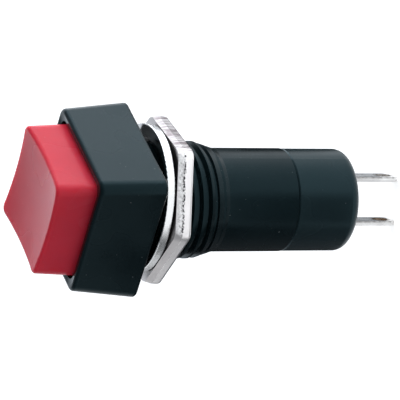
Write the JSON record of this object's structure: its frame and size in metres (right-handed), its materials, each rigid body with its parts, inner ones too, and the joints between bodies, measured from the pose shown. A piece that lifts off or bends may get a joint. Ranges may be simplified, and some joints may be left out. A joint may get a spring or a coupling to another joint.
{
  "type": "panel pushbutton switch",
  "caption": "Panel pushbutton switch: red dished square cap in a black square bezel, threaded neck with washer and hex nut, round barrel, flat solder lugs.",
  "frame": {"origin": "centre of the bezel's rear face, where it seats on the panel", "axes": "+Z out of the panel, along the button's travel; X and Y along the bezel's sides"},
  "size_m": [0.0162, 0.0166, 0.0404],
  "materials": {
    "red_plastic": "satin moulded",
    "black_plastic": "smooth moulded",
    "white_plastic": "natural acetal",
    "fibre": "vulcanised fibre",
    "spring_steel": "drawn wire and strip",
    "plated_steel": "bright nickel plate on pressed steel",
    "brass": "bare, machined and stamped",
    "tinned_brass": "tin plated",
    "silver": "silver contact rivet"
  },
  "bodies": {
    "housing": {"housing": "black_plastic", "rear_cap": "black_plastic", "bridge_guide": "black_plastic", "terminal_a": "tinned_brass", "terminal_b": "tinned_brass", "fixed_contact_a": "silver", "fixed_contact_b": "silver", "spring_seat": "plated_steel", "return_spring": "spring_steel"},
    "plunger": {"button_cap": "red_plastic", "plunger": "white_plastic", "stop_washer": "fibre", "retaining_clip": "spring_steel", "bridge_pin": "brass", "contact_spring": "spring_steel"},
    "bridge": {"contact_bridge": "brass", "moving_contact_a": "silver", "moving_contact_b": "silver"},
    "washer": {"panel_washer": "plated_steel"},
    "nut": {"hex_nut": "plated_steel"}
  },
  "joints": [
    {"name": "button_press", "type": "slide", "parent": "housing", "child": "plunger", "axis": [0, 0, -1], "range_m": [0, 0.0028], "stiffness_N_per_m": 700, "springref_m": -0.003, "deforming": ["return_spring"]},
    {"name": "bridge_slide", "type": "slide", "parent": "plunger", "child": "bridge", "axis": [0, 0, 1], "range_m": [0, 0.00123], "deforming": ["contact_spring"]},
    {"name": "washer_slide", "type": "slide", "parent": "housing", "child": "washer", "axis": [0, 0, 1], "range_m": [-0.0043, 0.00025]},
    {"name": "nut_turn", "type": "hinge", "parent": "washer", "child": "nut", "pos_m": [0, 0, -0.00268], "axis": [0.0577, 0.0451, 0.9973], "range_deg": [-1548, 90]}
  ],
  "couplings": [
    {"joint": "bridge_slide", "follows": "button_press", "ratio": 0.4357},
    {"joint": "nut_turn", "follows": "washer_slide", "rad_per_m": 6283.2}
  ]
}
